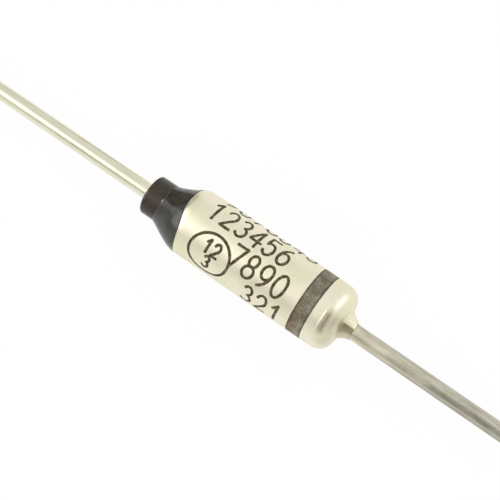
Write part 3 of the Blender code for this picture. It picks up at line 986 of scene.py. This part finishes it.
# One low stroke of ink: a flat oval section carried along the path, its half-width
# w sqrt(1 - e^2) closing over the last half-width at both ends, then wrapped on the
# case with phi = -y / R, y = -(R + h) sin(phi), z = (R + h) cos(phi)
def strokeMesh(path, closed, seed):
    sizes = marking
    half = sizes["strokeWidth"] / 2
    if closed:
        path = path[:-1]
        tangent = np.roll(path, -1, axis=0) - np.roll(path, 1, axis=0)
    else:
        tangent = np.gradient(path, axis=0)
    tangent = tangent / np.linalg.norm(tangent, axis=1)[:, None]
    side = np.stack([-tangent[:, 1], tangent[:, 0]], axis=-1)
    along = pathLengths(path)
    source = np.random.RandomState(seed)
    phase = source.uniform(0, 6.28, 2)
    waves = zip(sizes["widthWaves"], phase)
    width = half * (1 + sum(share * np.sin(along * count + shift) for (share, count), shift in waves))
    if not closed:
        cap = half * sizes["capLength"]
        steps = np.linspace(0, 1, sizes["capSteps"] + 1)[:, None]
        opening = path[0] - tangent[0] * cap * (1 - steps[:-1])
        closing = path[-1] + tangent[-1] * cap * steps[1:]
        path = np.concatenate([opening, path, closing])
        before, after = np.repeat(side[[[0], [-1]]], sizes["capSteps"], axis=1)
        side = np.concatenate([before, side, after])
        taper = np.sqrt(1 - (1 - steps[:-1, 0]) ** 2)
        width = np.concatenate([width[0] * taper, width, width[-1] * taper[::-1]])
    count = len(path)
    a = np.linspace(0, 2 * np.pi, sizes["profileSteps"], endpoint=False)
    across = np.cos(a)
    top = np.abs(np.sin(a)) ** 0.5 * sizes["inkHeight"]
    up = np.where(np.sin(a) > 0, top, np.sin(a) * sizes["inkDepth"])
    flat = path[:, None, :] + side[:, None, :] * (width[:, None] * across[None, :])[:, :, None]
    scale = (width / half)[:, None]
    phi = -flat[:, :, 1] / sizes["surface"]
    lift = np.broadcast_to(up[None, :], (count, len(a))) * np.minimum(scale, 1)
    height = sizes["surface"] + skinOffset(flat[:, :, 0], phi) + lift
    points = around(flat[:, :, 0], height, phi)
    if closed:
        return points.reshape(-1, 3), [gridFaces(count, len(a), True, True)]
    inner = points[1:-1].reshape(-1, 3)
    rows = count - 2
    poles = np.stack([points[0].mean(axis=0), points[-1].mean(axis=0)])
    body = gridFaces(rows, len(a), False, True)
    first = poleFaces(0, len(a), len(inner), True)
    last = poleFaces((rows - 1) * len(a), len(a), len(inner) + 1, False)
    return np.concatenate([inner, poles]), [body, first, last]


# All the strokes of the marking as one piece
def makeMarking():
    sizes = marking
    paths = []

    def write(text, left, angle, size):
        width, height = sizes["digitWidth"] * size, sizes["digitHeight"] * size
        base = -math.radians(angle) * sizes["surface"] - height / 2
        for index, digit in enumerate(text):
            for stroke in digitStrokes[digit]:
                closed = stroke[0] == "arc" and abs(stroke[6] - stroke[5]) >= 360
                start = left + index * sizes["pitch"] * size
                paths.append((strokePath(stroke, start, base, width, height, sizes["slant"]), closed))

    for row in markingRows:
        write(*row)
    ring = ringMark
    ringMiddle = -math.radians(ring["angle"]) * sizes["surface"]
    circle = ("arc", ring["x"], ringMiddle, ring["radius"], ring["radius"], 0, 360)
    paths.append((strokePath(circle, 0, 0, 1, 1, 0), True))
    smallPitch = sizes["pitch"] * ring["digitSize"]
    smallHeight = sizes["digitHeight"] * ring["digitSize"]
    shift = math.degrees(ring["rowShift"] * smallHeight / sizes["surface"])
    pairX = ring["x"] - smallPitch * ring["pairShift"]
    singleX = ring["x"] - smallPitch * ring["singleShift"]
    write("12", pairX, ring["angle"] - shift, ring["digitSize"])
    write("3", singleX, ring["angle"] + shift, ring["digitSize"])
    allPoints, allFaces, offset = [], [], 0
    for seed, (path, closed) in enumerate(paths):
        points, faceSets = strokeMesh(path, closed, seed)
        allPoints.append(points)
        allFaces += [faces + offset for faces in facingOut(points, faceSets)]
        offset += len(points)
    addPiece("marking_digits", np.concatenate(allPoints), allFaces, inkMat)


makeMarking()
print("marking made")

# Band: a ring of thin ink near the closed end, with uneven edges
def makeBand():
    sizes = band
    phi = np.linspace(0, 2 * np.pi, sizes["steps"], endpoint=False)
    wave = unevenness(41, phi * 0 + 1.0, phi, (1, 1, 1, 1), sizes["edgeCounts"]) * sizes["edgeWave"]
    start, end = sizes["start"] + wave, sizes["end"] - np.roll(wave, sizes["edgeTurn"])
    surface = marking["surface"]
    t = np.linspace(0, 1, sizes["across"])
    lift = np.minimum(np.minimum(t, 1 - t) / sizes["lipShare"], 1) ** 0.5
    x = start[None, :] + (end - start)[None, :] * t[:, None]
    top = surface + skinOffset(x, phi[None, :]) + sizes["height"] * lift[:, None]
    underX = np.stack([end, start])
    low = np.full_like(underX, surface - caseSkin["draft"] - sizes["depth"])
    grid = np.concatenate([around(x, top, phi), around(underX, low, phi)])
    addRing("marking_band", grid, bandMat)


makeBand()
print("band made")

# Finishes of the inner pieces, which stay as the solids made them
def innerMaterial(name, base, metallic, roughness, grain, depth):
    shader = Shader(name, base, metallic, roughness)
    noise = shader.noise(grain, 4, 0.6)
    dark = tuple(channel * 0.86 for channel in base)
    light = tuple(min(channel * 1.08, 1) for channel in base)
    shader.tones(noise, {"dark": dark, "base": base, "light": light}, low=0.34, high=0.66)
    shader.rough(shader.spread(noise, roughness * 0.8, roughness * 1.25))
    shader.bump(noise, depth, strength=0.5)
    return shader.material


innerFinishes = {
    "thermal_pellet": innerMaterial("pressed pellet", (0.72, 0.70, 0.62), 0.0, 0.65, 0.08, 0.01),
    "pellet_disc": innerMaterial("pressed brass", (0.78, 0.62, 0.33), 1.0, 0.34, 0.12, 0.003),
    "star_contact": innerMaterial("silver sheet", (0.90, 0.89, 0.86), 1.0, 0.22, 0.15, 0.002),
    "bias_spring": innerMaterial("spring wire", (0.55, 0.55, 0.56), 1.0, 0.30, 0.05, 0.003),
}
innerFinishes["contact_disc"] = innerFinishes["pellet_disc"]
innerFinishes["trip_spring"] = innerFinishes["bias_spring"]
for nodeName, finish in innerFinishes.items():
    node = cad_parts[nodeName]
    node.data.materials.clear()
    node.data.materials.append(finish)
print("inner finishes assigned")

# Camera: above the marked side, leaning towards the case lead, with the axis
# running down to the right in the picture
view = {
    "distance": 75.0,
    "lean": 12.0,
    "roll": 34.3,
    "pixelsPerMm": 17.33,
    "axisPoint": 0.24,
    "axisPixel": (254.0, 263.5),
    "picture": 500,
    "sensor": 36.0,
}


def makeCamera():
    lean, roll = math.radians(view["lean"]), math.radians(view["roll"])
    towards = Vector((math.sin(lean), 0, math.cos(lean)))
    along = Vector((math.cos(lean), 0, -math.sin(lean)))
    across = Vector((0, 1, 0))
    right = along * math.cos(roll) + across * math.sin(roll)
    up = across * math.cos(roll) - along * math.sin(roll)
    shiftRight = (view["axisPixel"][0] - view["picture"] / 2) / view["pixelsPerMm"]
    shiftDown = (view["axisPixel"][1] - view["picture"] / 2) / view["pixelsPerMm"]
    aim = Vector((view["axisPoint"], 0, 0)) - right * shiftRight + up * shiftDown
    place = aim + towards * view["distance"]
    data = bpy.data.cameras.new("camera")
    pictureWidth = view["picture"] / view["pixelsPerMm"]
    data.sensor_width = view["sensor"]
    data.lens = view["sensor"] * view["distance"] / pictureWidth
    data.clip_start = 0.002
    data.clip_end = 10
    camera = bpy.data.objects.new("camera", data)
    axes = Matrix((right, up, towards)).transposed().to_4x4()
    camera.matrix_world = Matrix.Translation(place * mm) @ axes
    bpy.context.scene.collection.objects.link(camera)
    bpy.context.scene.camera = camera


makeCamera()
print("camera made")

# Floor: white, with the fuse lying on it, and only a light shadow
floor = {
    "height": caseLow[2] - 0.01,
    "half": 1500.0,
    "colour": (0.99, 0.99, 0.985),
    "roughness": 0.9,
    "shadowShare": 0.06,
    "mirrored": 0.98,
}
# Duller parts of the floor, as shiny surfaces see it: each lies where a x + b y is above
# an edge, over a soft width, for all of its lines (a, b, edge, soft)
floorPatches = {
    "far side": {"level": 0.25, "lines": [(-1, -0.75, 4.5, 1.2), (1, 1.35, -4.5, 1.2), (0, 1, 6.0, 0.6)]},
    "near right": {"level": 0.76, "lines": [(1, 0, 8.0, 3.0), (0, -1, 1.0, 1.0)]},
}


def floorLevel(tree):
    place = coordinates(tree, "Object")
    value = floor["mirrored"]
    for patch in floorPatches.values():
        window = 1.0
        for alongX, alongY, edge, soft in patch["lines"]:
            total = calc(tree, "MULTIPLY", place["X"], alongX)
            total = calc(tree, "ADD", total, calc(tree, "MULTIPLY", place["Y"], alongY))
            window = calc(tree, "MULTIPLY", window, rise(tree, total, edge * mm, soft * mm))
        value = blendLevel(tree, value, patch["level"], window)
    return value


def makeFloor():
    half = floor["half"] * mm
    level = floor["height"] * mm
    mesh = bpy.data.meshes.new("floor")
    corners = [(-half, -half, level), (half, -half, level), (half, half, level), (-half, half, level)]
    mesh.from_pydata(corners, [], [(0, 1, 2, 3)])
    sheet = bpy.data.objects.new("floor", mesh)
    bpy.context.scene.collection.objects.link(sheet)
    material = bpy.data.materials.new("white floor")
    material.use_nodes = True
    tree = material.node_tree
    main = tree.nodes["Principled BSDF"]
    main.inputs["Base Color"].default_value = (*floor["colour"], 1)
    main.inputs["Roughness"].default_value = floor["roughness"]
    main.inputs["Specular IOR Level"].default_value = 0.0
    glow = whiteShader(tree, "ShaderNodeEmission", 1.0)
    mirrored = whiteShader(tree, "ShaderNodeEmission", floorLevel(tree))
    path = tree.nodes.new("ShaderNodeLightPath").outputs
    share = calc(tree, "MULTIPLY", path["Is Camera Ray"], 1 - floor["shadowShare"])
    shown = mixShaders(tree, share, main.outputs[0], glow.outputs[0])
    shown = mixShaders(tree, path["Is Glossy Ray"], shown, mirrored.outputs[0])
    tree.links.new(shown, tree.nodes["Material Output"].inputs["Surface"])
    mesh.materials.append(material)


makeFloor()
print("floor made")

# Light: an even white surround lights everything, and one soft lamp gives the faint shadow.
# Shiny surfaces see a white tent with lamps and a dark opening in it. A direction in the
# tent is told by its part along X and by its angle round X, in degrees from straight up
# towards the front
studio = {
    "surround": 0.975,
    "seen": 1.12,
    "softAngle": 14.0,
    "darkTone": (0.80, 0.736, 0.64),
    "lightTone": (0.80, 0.80, 0.80),
}
# Patches of the tent: level, (from, to, softness) along X, starting line, ending line. A line
# (base, left, right) is angle = base + left * min(along, 0) + right * max(along, 0)
tentPatches = {
    "far side": (1.0, (-1.1, -0.30, 0.10), (-130, 0, 0), (-18, 0, 0)),
    "far corner": (0.08, (-1.1, -0.5, 0.1), (-126, 0, 0), (-364, -376, 0)),
    "left lamp": (2.0, (-1.1, -0.20, 0.12), (11, 39, 0), (28, 0, 0)),
    "left lamp core": (3.8, (-0.82, -0.46, 0.10), (11, 39, 0), (50, 0, 0)),
    "left bar": (0.55, (-0.60, -0.27, 0.08), (4, -112, 0), (62, 0, 0)),
    "centre glow": (1.36, (-0.25, -0.06, 0.08), (-36, 0, 0), (12, 0, 0)),
    "opening": (0.04, (-0.02, 0.41, 0.08), (-5, -113, -50), (62, 0, 14)),
    "right bar": (0.50, (0.78, 1.1, 0.16), (-20, 0, 0), (80, 0, 0)),
    "right lamp": (2.9, (0.30, 0.55, 0.10), (-92, 0, 0), (-30, 0, 0)),
}
shadowLamp = {"towards": (-0.25, 0.35, 0.90), "distance": 400.0, "size": 160.0, "radiance": 0.8}


def tentLevel(tree):
    along, across, up = coordinates(tree, "Generated")
    angle = calc(tree, "DEGREES", calc(tree, "ARCTAN2", calc(tree, "MULTIPLY", across, -1.0), up))
    leftPart = calc(tree, "MINIMUM", along, 0.0)
    rightPart = calc(tree, "MAXIMUM", along, 0.0)

    # 1 past a line, where angle - left * leftPart - right * rightPart is above its base
    def past(base, left, right):
        leanLeft = calc(tree, "MULTIPLY", leftPart, left)
        lean = calc(tree, "ADD", leanLeft, calc(tree, "MULTIPLY", rightPart, right))
        return rise(tree, calc(tree, "SUBTRACT", angle, lean), base, studio["softAngle"])

    value = studio["seen"]
    for level, (low, high, softAlong), first, last in tentPatches.values():
        parts = [
            inverse(tree, past(*last)),
            rise(tree, along, low, softAlong),
            inverse(tree, rise(tree, along, high, softAlong)),
        ]
        window = past(*first)
        for part in parts:
            window = calc(tree, "MULTIPLY", window, part)
        value = blendLevel(tree, value, level, window)
    return value


def makeWorld():
    world = bpy.data.worlds.new("white tent")
    world.use_nodes = True
    bpy.context.scene.world = world
    tree = world.node_tree
    lit = tree.nodes["Background"]
    lit.inputs["Color"].default_value = (1, 1, 1, 1)
    lit.inputs["Strength"].default_value = studio["surround"]
    backdrop = whiteShader(tree, "ShaderNodeBackground", studio["seen"])
    level = tentLevel(tree)
    tent = whiteShader(tree, "ShaderNodeBackground", level)
    tone = tree.nodes.new("ShaderNodeValToRGB")
    tone.color_ramp.elements[0].color = (*studio["darkTone"], 1)
    tone.color_ramp.elements[1].color = (*studio["lightTone"], 1)
    tree.links.new(level, tone.inputs["Fac"])
    tree.links.new(tone.outputs["Color"], tent.inputs["Color"])
    path = tree.nodes.new("ShaderNodeLightPath").outputs
    shown = mixShaders(tree, path["Is Glossy Ray"], lit.outputs[0], tent.outputs[0])
    shown = mixShaders(tree, path["Is Camera Ray"], shown, backdrop.outputs[0])
    tree.links.new(shown, tree.nodes["World Output"].inputs["Surface"])


def makeShadowLamp():
    size = shadowLamp["size"] * mm
    data = bpy.data.lights.new("shadow lamp", "AREA")
    data.shape = "DISK"
    data.size = size
    data.energy = shadowLamp["radiance"] * math.pi * math.pi * size * size / 4
    lamp = bpy.data.objects.new("shadow_lamp", data)
    towards = Vector(shadowLamp["towards"]).normalized()
    lamp.location = towards * shadowLamp["distance"] * mm
    lamp.rotation_euler = towards.to_track_quat("Z", "Y").to_euler()
    lamp.visible_glossy = False
    bpy.context.scene.collection.objects.link(lamp)


makeWorld()
makeShadowLamp()
print("light made")

bpy.context.scene.view_settings.view_transform = "Standard"
